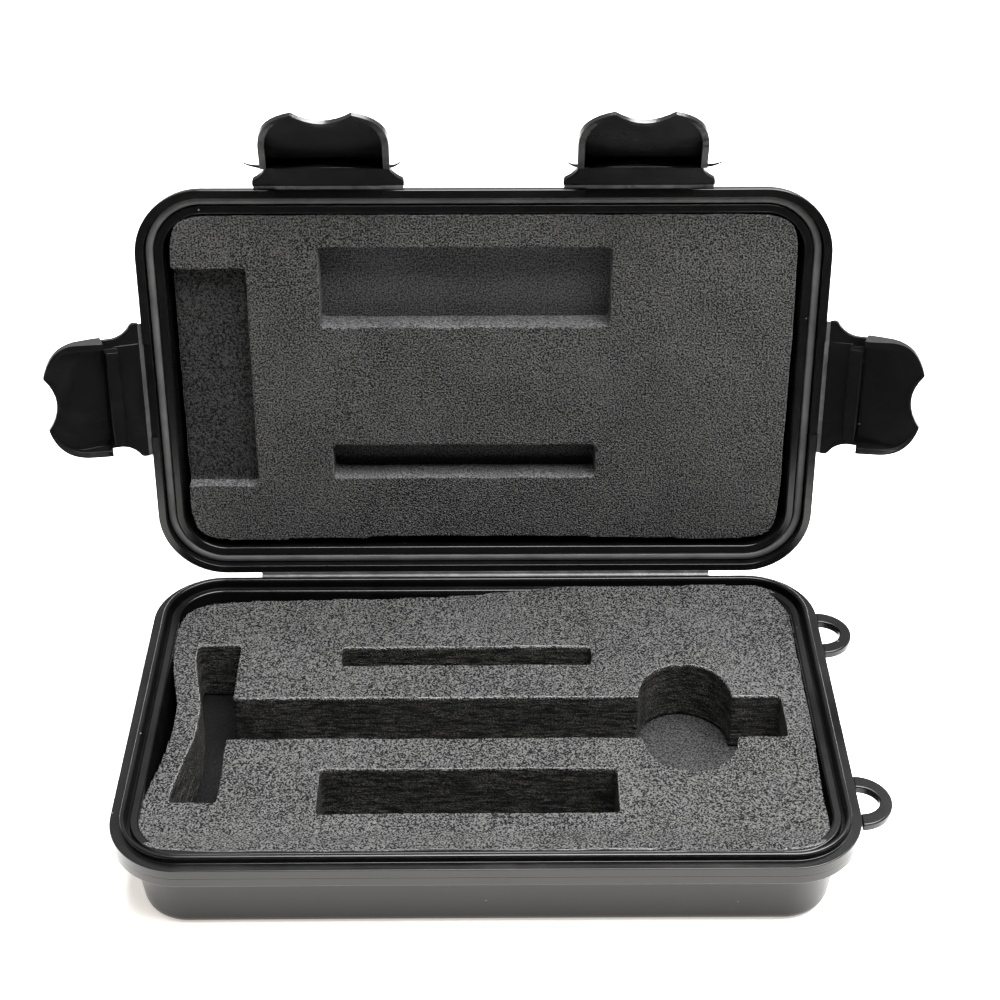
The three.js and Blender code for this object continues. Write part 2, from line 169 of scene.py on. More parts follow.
def make_camera():
    """Looks down on the open case from the latch side."""
    data = bpy.data.cameras.new("camera")
    data.lens = CAMERA_LENS
    data.sensor_width = 36
    data.clip_start = 0.01
    camera = bpy.data.objects.new("camera", data)
    bpy.context.scene.collection.objects.link(camera)
    tilt = math.radians(CAMERA_TILT_DEG)
    forward = Vector((
        -math.sin(CAMERA_TURN) * math.cos(tilt),
        math.cos(CAMERA_TURN) * math.cos(tilt),
        -math.sin(tilt),
    ))
    right = forward.cross(Vector((0, 0, 1))).normalized()
    up = right.cross(forward)
    rolled = Matrix.Rotation(-CAMERA_ROLL, 3, forward)
    right = rolled @ right
    up = rolled @ up
    axes = Matrix((right, up, -forward)).transposed()
    camera.matrix_world = Matrix.Translation(Vector(CAMERA_PLACE) * MM) @ axes.to_4x4()
    bpy.context.scene.camera = camera


# ---------------------------------------------------------------- materials

class Material:
    """A Principled material and short names for the nodes that feed it."""

    def __init__(self, name):
        self.material = bpy.data.materials.new(name)
        self.material.use_nodes = True
        self.tree = self.material.node_tree
        self.shader = self.tree.nodes["Principled BSDF"]
        coordinates = self.node("ShaderNodeTexCoord")
        self.position = coordinates.outputs["Object"]

    def node(self, kind):
        return self.tree.nodes.new(kind)

    def link(self, source, target):
        self.tree.links.new(source, target)

    def stretched(self, scale):
        mapping = self.node("ShaderNodeMapping")
        mapping.inputs["Scale"].default_value = scale
        self.link(self.position, mapping.inputs["Vector"])
        return mapping.outputs["Vector"]

    def noise(self, scale, detail=2.0, roughness=0.5, distortion=0.0, position=None):
        texture = self.node("ShaderNodeTexNoise")
        texture.inputs["Scale"].default_value = scale
        texture.inputs["Detail"].default_value = detail
        texture.inputs["Roughness"].default_value = roughness
        texture.inputs["Distortion"].default_value = distortion
        self.link(position or self.position, texture.inputs["Vector"])
        return texture.outputs["Fac"]

    def cells(self, scale, position=None):
        texture = self.node("ShaderNodeTexVoronoi")
        texture.inputs["Scale"].default_value = scale
        self.link(position or self.position, texture.inputs["Vector"])
        return texture.outputs["Distance"]

    def ramp(self, value, *stops):
        """Maps a value to greys or colours; each stop is (place, colour)."""
        ramp = self.node("ShaderNodeValToRGB")
        elements = ramp.color_ramp.elements
        while len(elements) < len(stops):
            elements.new(0.5)
        for element, (place, colour) in zip(elements, stops):
            element.position = place
            grey = colour if isinstance(colour, tuple) else (colour, colour, colour)
            element.color = (*grey, 1)
        self.link(value, ramp.inputs["Fac"])
        return ramp.outputs["Color"]

    def math(self, operation, first, second):
        node = self.node("ShaderNodeMath")
        node.operation = operation
        for value, socket in zip((first, second), node.inputs):
            if isinstance(value, (int, float)):
                socket.default_value = value
            else:
                self.link(value, socket)
        return node.outputs["Value"]

    def mix(self, factor, first, second):
        node = self.node("ShaderNodeMix")
        node.data_type = "RGBA"
        self.link(factor, node.inputs["Factor"])
        for value, socket in zip((first, second), (node.inputs[6], node.inputs[7])):
            if isinstance(value, tuple):
                socket.default_value = (*value, 1)
            else:
                self.link(value, socket)
        return node.outputs[2]

    def along(self, axis):
        """Place along one of the piece's own axes, in metres."""
        split = self.node("ShaderNodeSeparateXYZ")
        self.link(self.position, split.inputs["Vector"])
        return split.outputs[axis]

    def bump(self, height, distance, strength=1.0, under=None):
        node = self.node("ShaderNodeBump")
        node.inputs["Strength"].default_value = strength
        node.inputs["Distance"].default_value = distance
        self.link(height, node.inputs["Height"])
        if under is not None:
            self.link(under, node.inputs["Normal"])
        return node.outputs["Normal"]

    def finish(self, colour, roughness, normal=None):
        self.link(colour, self.shader.inputs["Base Color"])
        self.link(roughness, self.shader.inputs["Roughness"])
        if normal is not None:
            self.link(normal, self.shader.inputs["Normal"])
        return self.material


def plastic(name, base, rough, blotch, scratches, shine=0.33):
    """Black moulded plastic: faint flow marks, fine texture, dust specks."""
    m = Material(name)
    flow = m.noise(90, 4, 0.6, 1.2)
    fine = m.noise(5200, 2, 0.6)
    dust_cells = m.cells(420)
    dust_pick = m.noise(260, 1, 0.5)
    dust = m.math("MULTIPLY", m.ramp(dust_cells, (0.05, 1.0), (0.09, 0.0)),
                  m.ramp(dust_pick, (0.63, 0.0), (0.66, 1.0)))
    colour = m.ramp(flow, (0.3, base * 0.6), (0.5, base), (0.72, base * (1 + blotch)))
    colour = m.mix(dust, colour, (0.16, 0.15, 0.14))
    m.shader.inputs["Specular IOR Level"].default_value = shine
    wear = m.noise(28, 5, 0.65, 0.6)
    roughness = m.ramp(wear, (0.3, rough - 0.06), (0.55, rough), (0.75, rough + 0.1))
    normal = m.bump(fine, 0.00002, 0.35)
    normal = m.bump(m.noise(420, 3, 0.6), 0.00003, 0.5, normal)
    if scratches:
        streaks = m.noise(1.0, 3, 0.7, 0.5, m.stretched((260, 900, 260)))
        normal = m.bump(streaks, 0.00006, 0.6, normal)
        normal = m.bump(flow, 0.0003, 0.5, normal)
    return m.finish(colour, roughness, normal)


def rubber(name):
    """Soft black sealing rubber, matt and slightly dusty."""
    m = Material(name)
    cloud = m.noise(160, 4, 0.6)
    colour = m.ramp(cloud, (0.3, 0.035), (0.7, 0.065))
    roughness = m.ramp(m.noise(300, 2), (0.3, 0.5), (0.7, 0.66))
    normal = m.bump(m.noise(2600, 3, 0.6), 0.00004, 0.6)
    return m.finish(colour, roughness, normal)


def foam(name, dark, light, grain_depth=0.0009, striated=False, painted_light_edge=None, painted_shade_left=False,
         painted_shade_above=None):
    """Closed-cell foam. A cut wall is striated, and its top edge (height, fade, brightness) is fuzzy and
    pale: painted light.

    A sheet can hold painted shade, darker towards its left end, or above a height.
    """
    m = Material(name)
    grain = m.noise(2500, 1, 0.5, 0.2)
    cells = m.cells(2600)
    mottle = m.noise(60, 4, 0.6)
    value = m.math("ADD", grain, m.math("MULTIPLY", m.math("SUBTRACT", mottle, 0.5), 0.14))
    colour = m.ramp(value, (0.40, dark), (0.60, light))
    height = m.math("ADD", grain, m.math("MULTIPLY", cells, 0.35))
    normal = m.bump(height, grain_depth, 0.9)
    if striated:
        lines = m.noise(1.0, 3, 0.7, 0.2, m.stretched((240, 240, 1500)))
        colour = m.mix(m.ramp(lines, (0.4, 0.0), (0.62, 1.0)), (dark[0] * 0.35,) * 3, colour)
        normal = m.bump(lines, 0.0005, 0.8, normal)
    # Painted light: from the given height upwards a cut wall turns pale, with a fuzzy boundary.
    if painted_light_edge is not None:
        edge, fade, brightness = painted_light_edge
        rise = m.math("DIVIDE", m.math("SUBTRACT", m.along("Z"), edge * MM), fade * MM)
        fuzz = m.math("ADD", rise, m.math("MULTIPLY", m.math("SUBTRACT", grain, 0.5), 2.4))
        colour = m.mix(m.ramp(fuzz, (0.35, 0.0), (0.75, 1.0)), colour, (brightness,) * 3)
    # Painted shade: the colour darkens towards the sheet's left end.
    if painted_shade_left:
        share = m.math("ADD", m.math("MULTIPLY", m.along("X"), 25.0), 1.8)
        colour = m.mix(m.ramp(share, (0.5, 0.0), (0.9, 1.0)), (dark[0] * 0.2,) * 3, colour)
    # Painted shade: the colour darkens above the given height.
    if painted_shade_above is not None:
        rise = m.math("SUBTRACT", m.along("Z"), painted_shade_above * MM)
        depth = m.ramp(m.math("MULTIPLY", rise, 1000.0), (0.0, 1.0), (0.5, 0.45))
        colour = m.mix(depth, (0.0, 0.0, 0.0), colour)
    roughness = m.ramp(grain, (0.3, 0.8), (0.7, 0.55))
    m.shader.inputs["Specular IOR Level"].default_value = 0.12
    return m.finish(colour, roughness, normal)


def floor_material():
    m = Material("floor_card")
    colour = m.ramp(m.noise(6, 2), (0.3, (0.80, 0.795, 0.785)), (0.7, (0.82, 0.815, 0.805)))
    roughness = m.ramp(m.noise(40, 2), (0.3, 0.9), (0.7, 1.0))
    m.shader.inputs["Specular IOR Level"].default_value = 0.0
    m.shader.inputs["Emission Color"].default_value = (1.0, 0.93, 0.85, 1)
    m.shader.inputs["Emission Strength"].default_value = FLOOR_GLOW
    return m.finish(colour, roughness)


# ---------------------------------------------------------------- studio

def make_sky():
    """Plain light from all round, brighter from behind the case than from its front."""
    world = bpy.data.worlds.new("studio")
    world.use_nodes = True
    nodes = world.node_tree.nodes
    links = world.node_tree.links
    sky = nodes["Background"]
    direction = nodes.new("ShaderNodeTexCoord")
    split = nodes.new("ShaderNodeSeparateXYZ")
    shade = nodes.new("ShaderNodeMapRange")
    shade.inputs["From Min"].default_value = -0.55
    shade.inputs["From Max"].default_value = 0.55
    shade.inputs["To Min"].default_value = SKY_FRONT
    shade.inputs["To Max"].default_value = SKY_BACK
    links.new(direction.outputs["Generated"], split.inputs["Vector"])
    links.new(split.outputs["Y"], shade.inputs["Value"])
    links.new(shade.outputs["Result"], sky.inputs["Strength"])
    sky.inputs["Color"].default_value = (0.98, 0.99, 1.0, 1)
    bpy.context.scene.world = world


def make_softbox():
    """A wide soft lamp above the case and a little to its right, aimed at the origin."""
    data = bpy.data.lights.new("overhead", "AREA")
    data.shape = "RECTANGLE"
    data.size, data.size_y = SOFTBOX_SIZE
    data.energy = SOFTBOX_POWER
    lamp = bpy.data.objects.new("overhead", data)
    bpy.context.scene.collection.objects.link(lamp)
    aim = (-Vector(SOFTBOX_PLACE)).to_track_quat("-Z", "Y").to_matrix().to_4x4()
    lamp.matrix_world = Matrix.Translation(SOFTBOX_PLACE) @ aim


def make_sheet(name, corners, material):
    """A flat four-cornered sheet of the studio, in metres."""
    mesh = bpy.data.meshes.new(name)
    mesh.from_pydata(corners, [], [(0, 1, 2, 3)])
    mesh.materials.append(material)
    sheet = bpy.data.objects.new(name, mesh)
    bpy.context.scene.collection.objects.link(sheet)
    return sheet


def make_floor():
    reach = FLOOR_REACH
    corners = [(-reach, -reach, 0), (reach, -reach, 0), (reach, reach, 0), (-reach, reach, 0)]
    floor = make_sheet("floor", corners, floor_material())
    floor.location.z = -FLOOR_DROP


def make_flags():
    """Dark sheets in front and beside, seen only in reflections: painted dark reflections that keep the
    lid's face black.
    """
    # Near-black look for the sheets that paint dark reflections.
    m = Material("reflection_only_dark_flag")
    dark_reflection_look = m.finish(
        m.ramp(m.noise(200), (0.3, 0.004), (0.7, 0.008)), m.ramp(m.noise(90), (0.3, 0.9), (0.7, 1.0))
    )
    near = FLAG_NEAR
    side = FLAG_SIDE
    far = FLAG_FAR
    sheets = [
        [(-far, near, 0), (far, near, 0), (far, near - 0.06, 0.2), (-far, near - 0.06, 0.2)],
        [(-far, near, 0), (-side, near, 0), (-side, 0.04, 0), (-far, 0.04, 0)],
        [(side, near, 0), (far, near, 0), (far, 0.04, 0), (side, 0.04, 0)],
    ]
    for index, corners in enumerate(sheets):
        flag = make_sheet(f"flag_{index}", corners, dark_reflection_look)
        flag.visible_camera = False
        flag.visible_shadow = False
        flag.visible_diffuse = False


def make_studio():
    make_sky()
    make_softbox()
    make_floor()
    make_flags()
    scene = bpy.context.scene
    scene.view_settings.view_transform = "Standard"
    scene.view_settings.look = "None"


# ---------------------------------------------------------------- mesh helpers

def link_mesh(name, mesh, *materials):
    obj = bpy.data.objects.new(name, mesh)
    bpy.context.scene.collection.objects.link(obj)
    for material in materials:
        mesh.materials.append(material)
    return obj


def mesh_from(vertices, faces, name):
    mesh = bpy.data.meshes.new(name)
    mesh.from_pydata([tuple(v) for v in np.asarray(vertices, float) * MM], [], faces)
    mesh.update()
    return mesh


def settle(mesh, sharp_deg=32):
    """Faces outward, smooth shading, sharp edges where faces turn hard."""
    work = bmesh.new()
    work.from_mesh(mesh)
    bmesh.ops.recalc_face_normals(work, faces=work.faces)
    work.to_mesh(mesh)
    work.free()
    mesh.shade_smooth()
    mesh.set_sharp_from_angle(angle=math.radians(sharp_deg))


def weight_normals(obj):
    modifier = obj.modifiers.new("weighted", "WEIGHTED_NORMAL")
    modifier.keep_sharp = True
    modifier.weight = 80


def final_mesh(obj):
    """The object's mesh with its modifiers applied, in place of its own mesh."""
    depsgraph = bpy.context.evaluated_depsgraph_get()
    mesh = bpy.data.meshes.new_from_object(obj.evaluated_get(depsgraph))
    obj.modifiers.clear()
    obj.data = mesh
    return obj


def rounded_path(corners, closed=False, steps=4):
    """An [inset, height] path whose corners [inset, height, radius] are rounded off."""
    path = []
    count = len(corners)
    for index, (x, z, radius) in enumerate(corners):
        at_end = not closed and index in (0, count - 1)
        if radius == 0 or at_end:
            path.append((x, z))
            continue
        corner = np.array((x, z))
        back = np.array(corners[index - 1][:2]) - corner
        ahead = np.array(corners[(index + 1) % count][:2]) - corner
        path += arc_between(corner, back, ahead, radius, steps)
    return hold_flats(path, closed)


def hold_flats(path, closed, margin=0.1):
    """Adds a point near each end of every long straight, so that shading stays flat between roundings."""
    held = []
    count = len(path)
    for index, point in enumerate(path):
        held.append(point)
        if index == count - 1 and not closed:
            break
        start = np.array(point)
        end = np.array(path[(index + 1) % count])
        length = np.linalg.norm(end - start)
        if length > 5 * margin:
            held.append(tuple(start + (end - start) * margin / length))
            held.append(tuple(end - (end - start) * margin / length))
    return held


def arc_between(corner, back, ahead, radius, steps):
    """Points of the fillet of that radius in the corner between two directions."""
    back_length = np.linalg.norm(back)
    ahead_length = np.linalg.norm(ahead)
    back = back / back_length
    ahead = ahead / ahead_length
    half = math.acos(np.clip(back @ ahead, -1, 1)) / 2
    reach = min(radius / math.tan(half), 0.48 * min(back_length, ahead_length))
    radius = reach * math.tan(half)
    middle = (back + ahead) / np.linalg.norm(back + ahead)
    centre = corner + middle * radius / math.sin(half)
    start = corner + back * reach - centre
    end = corner + ahead * reach - centre
    sweep = math.acos(np.clip(start @ end / radius ** 2, -1, 1))
    points = []
    for step in range(steps + 1):
        share = step / steps
        leaving = math.sin((1 - share) * sweep) * start
        arriving = math.sin(share * sweep) * end
        points.append(tuple(centre + (leaving + arriving) / math.sin(sweep)))
    return points


def rim_outline(inset):
    """The rounded rectangle that lies that far inside the rim, counter-clockwise from +X."""
    half_x = RIM_LENGTH / 2 - inset
    half_y = RIM_DEPTH / 2 - inset
    radius = max(RIM_CORNER - inset, MIN_CORNER)
    corners = [(1, 1, 0, LONG_SIDE_STEPS), (-1, 1, 90, SHORT_SIDE_STEPS),
               (-1, -1, 180, LONG_SIDE_STEPS), (1, -1, 270, SHORT_SIDE_STEPS)]
    points = []
    for index, (side_x, side_y, start, side_steps) in enumerate(corners):
        centre = np.array((side_x * (half_x - radius), side_y * (half_y - radius)))
        for step in range(CORNER_STEPS + 1):
            angle = math.radians(start + 90 * step / CORNER_STEPS)
            points.append(centre + radius * np.array((math.cos(angle), math.sin(angle))))
        next_x, next_y, next_start, _ = corners[(index + 1) % 4]
        next_angle = math.radians(next_start)
        next_centre = np.array((next_x * (half_x - radius), next_y * (half_y - radius)))
        following = next_centre + radius * np.array((math.cos(next_angle), math.sin(next_angle)))
        begin = points[-1]
        for step in range(1, side_steps):
            points.append(begin + (following - begin) * step / side_steps)
    return np.array(points)


def sweep_rim(profile, closed, sink=0.0):
    """A profile swept round the rim: a ring, or a solid with a flat cap at each end of the path."""
    rings = []
    for inset, height in profile:
        outline = rim_outline(inset)
        rings.append(np.column_stack([outline, np.full(len(outline), height)]))
    count = len(rings[0])
    vertices = np.concatenate(rings)
    # Moulded walls sink inwards a little at the middle of each long side.
    middle = np.cos(np.clip(vertices[:, 0] / (RIM_LENGTH / 2), -1, 1) * math.pi / 2)
    long_side = np.abs(vertices[:, 1]) > RIM_DEPTH / 4
    vertices[:, 1] -= np.sign(vertices[:, 1]) * sink * middle * long_side
    faces = []
    last = len(rings) if closed else len(rings) - 1
    for ring in range(last):
        here = ring * count
        above = ((ring + 1) % len(rings)) * count
        for index in range(count):
            following = (index + 1) % count
            faces.append((here + index, here + following, above + following, above + index))
    if not closed:
        faces.append(tuple(reversed(range(count))))
        faces.append(tuple(range((len(rings) - 1) * count, len(rings) * count)))
    return vertices, faces


def prism(outline, low, high):
    """Vertices and faces of an upright prism."""
    count = len(outline)
    vertices = [(x, y, low) for x, y in outline] + [(x, y, high) for x, y in outline]
    faces = [tuple(reversed(range(count))), tuple(range(count, 2 * count))]
    for index in range(count):
        following = (index + 1) % count
        faces.append((index, following, count + following, count + index))
    return vertices, faces


def cut(obj, *cutters):
    """Cuts each (vertices, faces) solid out of the object."""
    for index, (vertices, faces) in enumerate(cutters):
        tool = link_mesh("cutter", mesh_from(vertices, faces, "cutter"))
        work = bmesh.new()
        work.from_mesh(tool.data)
        bmesh.ops.recalc_face_normals(work, faces=work.faces)
        work.to_mesh(tool.data)
        work.free()
        modifier = obj.modifiers.new("cut", "BOOLEAN")
        modifier.operation = "DIFFERENCE"
        modifier.solver = "EXACT"
        modifier.object = tool
        final_mesh(obj)
        bpy.data.objects.remove(tool)
    return obj


def lid_matrix():
    """Carries closed-lid coordinates, height 0 at the rim plane, to the open lid."""
    return (
        Matrix.Translation((0, HINGE_Y * MM, BASE_HEIGHT * MM))
        @ Matrix.Rotation(math.radians(-LID_OPEN), 4, "X")
        @ Matrix.Translation((0, -HINGE_Y * MM, 0))
    )


# ---------------------------------------------------------------- shells

def make_base_shell(material):
    """The tub: foot, wall, collar, parting line, flange, tongue, groove, inner wall and floor."""
    profile = rounded_path([
        (13, 0, 0), (TUB_FOOT_IN, 0, 2.4), (TUB_WALL_IN, COLLAR_FOOT, 0.3), (0, COLLAR_FOOT, 0.35),
        (0, COLLAR_TOP, 0), (0.025, PARTING_LINE, 0), (0, FLANGE_FOOT, 0), (0, BASE_HEIGHT, 0.14),
        (TONGUE_OUT, BASE_HEIGHT, 0.2), (TONGUE_OUT, TONGUE_TOP, 0.4), (TONGUE_IN, TONGUE_TOP, 0.35),
        (TONGUE_IN, GROOVE_FLOOR, 0.15), (GROOVE_IN, GROOVE_FLOOR, 0.15), (GROOVE_IN, WALL_TOP, 0.3),
        (WALL_IN, WALL_TOP, 0.35), (TRAY_FOOT_IN, TRAY_FLOOR, 3.0), (14, TRAY_FLOOR, 0),
    ])
    vertices, faces = sweep_rim(profile, closed=False, sink=TUB_SINK)
    mesh = mesh_from(vertices, faces, "shell_base")
    settle(mesh)
    obj = link_mesh("shell_base", mesh, material)
    weight_normals(obj)
    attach(obj, "base")
    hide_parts("base_shell")


def latch_seats():
    """Each latch's body name, seat x and y, turn about Z and opening, in closed-lid coordinates."""
    half_x = RIM_LENGTH / 2
    half_y = RIM_DEPTH / 2
    return [
        ("latch_front_left", -LATCH_SPACING / 2, -half_y, 180, FRONT_LATCH_OPEN),
        ("latch_front_right", LATCH_SPACING / 2, -half_y, 180, FRONT_LATCH_OPEN),
        ("latch_left", -half_x, 0, 90, SIDE_LATCH_OPEN),
        ("latch_right", half_x, 0, -90, SIDE_LATCH_OPEN),
    ]


def seat_cutter(x, y, turn):
    """The wedge that chamfers the lid's lip under a latch: u runs along the rim, v points outwards."""
    angle = math.radians(turn)
    section = [(1.0, 1.2), (1.0, -1.0), (-1.9, -1.0), (-1.9, 0.15), (0.0, 0.85)]
    vertices = []
    for u in (-SEAT_WIDTH / 2, SEAT_WIDTH / 2):
        for v, z in section:
            vertices.append((
                x + u * math.cos(angle) - v * math.sin(angle),
                y + u * math.sin(angle) + v * math.cos(angle),
                z,
            ))
    count = len(section)
    faces = [tuple(range(count)), tuple(reversed(range(count, 2 * count)))]
    faces += [(i, (i + 1) % count, count + (i + 1) % count, count + i) for i in range(count)]
    return vertices, faces


def make_lid_shell(material):
    """The lid: crown, wall, collar, lip, gasket channel, ridge and ceiling."""
    profile = rounded_path([
        (13, LID_CROWN, 0), (4.3, LID_CROWN, 4.0), (3.8, LID_WALL_FOOT, 0.3), (1.4, LID_WALL_FOOT, 0.3),
        (1.1, LID_LIP_TOP, 0.12), (0, LID_LIP_TOP, 0.2), (0, LID_LIP_FOOT, 0.35),
        (CHANNEL_OUT, LID_LIP_FOOT, 0.14), (CHANNEL_OUT, CHANNEL_FLOOR, 0.15),
        (CHANNEL_IN, CHANNEL_FLOOR, 0.15), (CHANNEL_IN, RIDGE_FOOT, 0.3), (RIDGE_IN, RIDGE_FOOT, 0.35),
        (6.9, LID_CEILING, 2.5), (14, LID_CEILING, 0),
    ])
    vertices, faces = sweep_rim(profile, closed=False, sink=LID_SINK)
    mesh = mesh_from(vertices, faces, "shell_lid")
    settle(mesh)
    obj = link_mesh("shell_lid", mesh, material)
    cut(obj, *[seat_cutter(x, y, turn) for _, x, y, turn, _ in latch_seats()])
    settle(obj.data)
    obj.matrix_world = lid_matrix()
    weight_normals(obj)
    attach(obj, "lid")
    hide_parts("lid_shell")


def make_gasket(material):
    """A soft ring pressed in the lid's channel, its face slightly crowned."""
    crown_in = (GASKET_OUT + GASKET_IN) / 2
    profile = rounded_path([
        (GASKET_OUT, GASKET_BACK, 0.2), (GASKET_OUT, GASKET_EDGE, 0.7), (crown_in, GASKET_CROWN, 0.5),
        (GASKET_IN, GASKET_EDGE, 0.7), (GASKET_IN, GASKET_BACK, 0.2),
    ], closed=True)
    vertices, faces = sweep_rim(profile, closed=True)
    # The ring's face is not quite level.
    for vertex in vertices:
        vertex[2] += 0.06 * noise.noise(Vector((vertex[0] * 0.05, vertex[1] * 0.05, 3.0)))
    mesh = mesh_from(vertices, faces, "gasket_ring")
    settle(mesh)
    obj = link_mesh("gasket_ring", mesh, material)
    obj.matrix_world = lid_matrix()
    weight_normals(obj)
    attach(obj, "lid")
    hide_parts("lid_gasket")


# ---------------------------------------------------------------- hinges

def ribbon(name, path, thickness, length, material, steps=48):
    """A thin web: an across path [y, z] given a thickness and drawn out along X."""
    path = np.array(path, float)
    direction = np.gradient(path, axis=0)
    direction /= np.linalg.norm(direction, axis=1)[:, None]
    normal = np.column_stack([-direction[:, 1], direction[:, 0]])
    section = np.concatenate([path + normal * thickness / 2, (path - normal * thickness / 2)[::-1]])
    count = len(section)
    vertices = []
    for x in np.linspace(-length / 2, length / 2, steps + 1):
        ripple = 0.02 * noise.noise(Vector((x * 0.3, 1.0, 0.0)))
        for y, z in section:
            vertices.append((x, y + ripple, z + ripple))
    faces = [tuple(range(count)), tuple(reversed(range(steps * count, (steps + 1) * count)))]
    for step in range(steps):
        for index in range(count):
            following = (index + 1) % count
            here = step * count
            beyond = here + count
            faces.append((here + index, here + following, beyond + following, beyond + index))
    mesh = mesh_from(vertices, faces, name)
    settle(mesh, 50)
    return link_mesh(name, mesh, material)


def make_hinge_strap(material):
    """The living hinge: a thin web from the tub's flange to the lid's lip."""
    path = [
        (49.1, 21.8), (49.35, 21.85), (49.62, 21.95), (49.85, 22.12),
        (50.0, 22.32), (50.08, 22.55), (50.1, 22.8),
    ]
    obj = ribbon("hinge_web", path, STRAP_THICKNESS, STRAP_LENGTH, material)
    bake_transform(obj)
    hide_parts("hinge_strap")


def latch_frame(x, y, turn):
    """A latch's own frame at its hinge line on the open lid, before the latch is swung open."""
    angle = math.radians(turn)
    out_x = -LATCH_AXIS_OUT * math.sin(angle)
    out_y = LATCH_AXIS_OUT * math.cos(angle)
    foot = Vector((x + out_x, y + out_y, LATCH_AXIS_UP))
    return lid_matrix() @ Matrix.Translation(foot * MM) @ Matrix.Rotation(angle, 4, "Z")


def make_latch_films(material):
    """The thin flexing line between the lid's lip and each latch."""
    for name, x, y, turn, opening in latch_seats():
        placed = latch_frame(x, y, turn)
        swing = math.radians(opening)
        # From the lip's edge round the axis to the root of the latch plate.
        steps = 7
        path = [(-0.42, 0.02)]
        for step in range(steps):
            share = step / (steps - 1)
            path.append((-0.3 + 0.3 * share, 0.02 * (1 - share)))
        root = (math.sin(swing) * FILM_REACH, -math.cos(swing) * FILM_REACH)
        path += [(root[0] * s, root[1] * s) for s in (0.35, 0.7, 1.0)]
        obj = ribbon(name + "_web", path, FILM_THICKNESS, SHOULDER_WIDTH - 0.4, material, steps=24)
        obj.matrix_world = placed
        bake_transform(obj)
        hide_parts(name + "_film")


def make_flash(material):
    """Thin curls of moulding flash left at the necks of the two front latches."""
    seats = {name: (x, y, turn, opening) for name, x, y, turn, opening in latch_seats()}
    curls = [
        ("latch_front_left", 1, 5.6), ("latch_front_left", -1, 3.6),
        ("latch_front_right", 1, 3.6), ("latch_front_right", -1, 5.4),
    ]
    for name, side, length in curls:
        x, y, turn, opening = seats[name]
        placed = latch_frame(x, y, turn) @ Matrix.Rotation(math.radians(opening), 4, "X")
        steps = 12
        vertices = []
        for step in range(steps + 1):
            share = step / steps
            reach = 13.6 + length * share
            half = 0.62 * (1 - share) ** 0.8 + 0.04
            fall = -7.4 - 2.2 * share ** 1.6
            depth = -0.6 - 0.5 * math.sin(share * 2.4)
            for across, up in ((-half, 0), (0, 0.12), (half, 0), (0, -0.12)):
                vertices.append((side * reach, depth + up, fall + across))
        faces = [(3, 2, 1, 0), tuple(range(steps * 4, steps * 4 + 4))]
        for step in range(steps):
            for index in range(4):
                here = step * 4
                beyond = here + 4
                following = (index + 1) % 4
                faces.append((here + index, here + following, beyond + following, beyond + index))
        obj_name = f"{name}_flash_{'a' if side > 0 else 'b'}"
        mesh = mesh_from(vertices, faces, obj_name)
        settle(mesh, 60)
        obj = link_mesh(obj_name, mesh, material)
        obj.matrix_world = placed
        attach(obj, name)


# ---------------------------------------------------------------- foam

def smooth_outline(points, passes=2):
    """Chaikin's corner cutting on a closed outline."""
    points = np.array(points, float)
    for _ in range(passes):
        following = np.roll(points, -1, axis=0)
        points = np.stack([0.75 * points + 0.25 * following, 0.25 * points + 0.75 * following], axis=1)
        points = points.reshape(-1, 2)
    return points


def rounded_rectangle(x0, x1, y0, y1, radius=0.6, steps=3):
    corners = [(x1 - radius, y1 - radius, 0), (x0 + radius, y1 - radius, 90),
               (x0 + radius, y0 + radius, 180), (x1 - radius, y0 + radius, 270)]
    points = []
    for x, y, start in corners:
        for step in range(steps + 1):
            angle = math.radians(start + 90 * step / steps)
            points.append((x + radius * math.cos(angle), y + radius * math.sin(angle)))
    return points


def disc(x, y, radius, steps=48):
    return [(x + radius * math.cos(2 * math.pi * i / steps), y + radius * math.sin(2 * math.pi * i / steps))
            for i in range(steps)]


def foam_block(name, outline, low, high, cutters, voxel, shape, cut_material, top_material):
    """A cut foam block, remeshed so its edges go soft, roughened, then bent by shape(points) if given."""
    vertices, faces = prism(outline, low, high)
    obj = link_mesh(name, mesh_from(vertices, faces, name))
    settle(obj.data)
    cut(obj, *cutters)
    remesh = obj.modifiers.new("remesh", "REMESH")
    remesh.mode = "VOXEL"
    remesh.voxel_size = voxel * MM
    remesh.adaptivity = 0
    final_mesh(obj)
    mesh = obj.data
    count = len(mesh.vertices)
    points = np.empty(count * 3, np.float32)
    mesh.vertices.foreach_get("co", points)
    points = points.reshape(-1, 3).astype(float) / MM
    normals = np.empty(count * 3, np.float32)
    mesh.vertices.foreach_get("normal", normals)
    normals = normals.reshape(-1, 3)
    seed = Vector((len(name) * 3.7, 1.3, 8.1))
    rough = np.array([
        0.05 * noise.noise(Vector(p) * 0.7 + seed) + 0.04 * noise.noise(Vector(p) * 2.1 + seed)
        for p in points
    ])
    wander_x = np.array([noise.noise(Vector(p) * 0.12 + seed) for p in points])
    wander_y = np.array([noise.noise(Vector(p) * 0.12 - seed) for p in points])
    points += normals * rough[:, None]
    points[:, 0] += 0.22 * wander_x
    points[:, 1] += 0.22 * wander_y
    if shape is not None:
        points = shape(points)
    mesh.vertices.foreach_set("co", (points * MM).astype(np.float32).ravel())
    mesh.update()
    mesh.materials.clear()
    mesh.materials.append(top_material)
    mesh.materials.append(cut_material)
    upright = np.empty(len(mesh.polygons) * 3, np.float32)
    mesh.polygons.foreach_get("normal", upright)
    upright = np.abs(upright.reshape(-1, 3)[:, 2])
    mesh.polygons.foreach_set("material_index", (upright < 0.6).astype(np.int32))
    mesh.shade_smooth()
    return obj


def smoothstep(value):
    value = np.clip(value, 0, 1)
    return value * value * (3 - 2 * value)


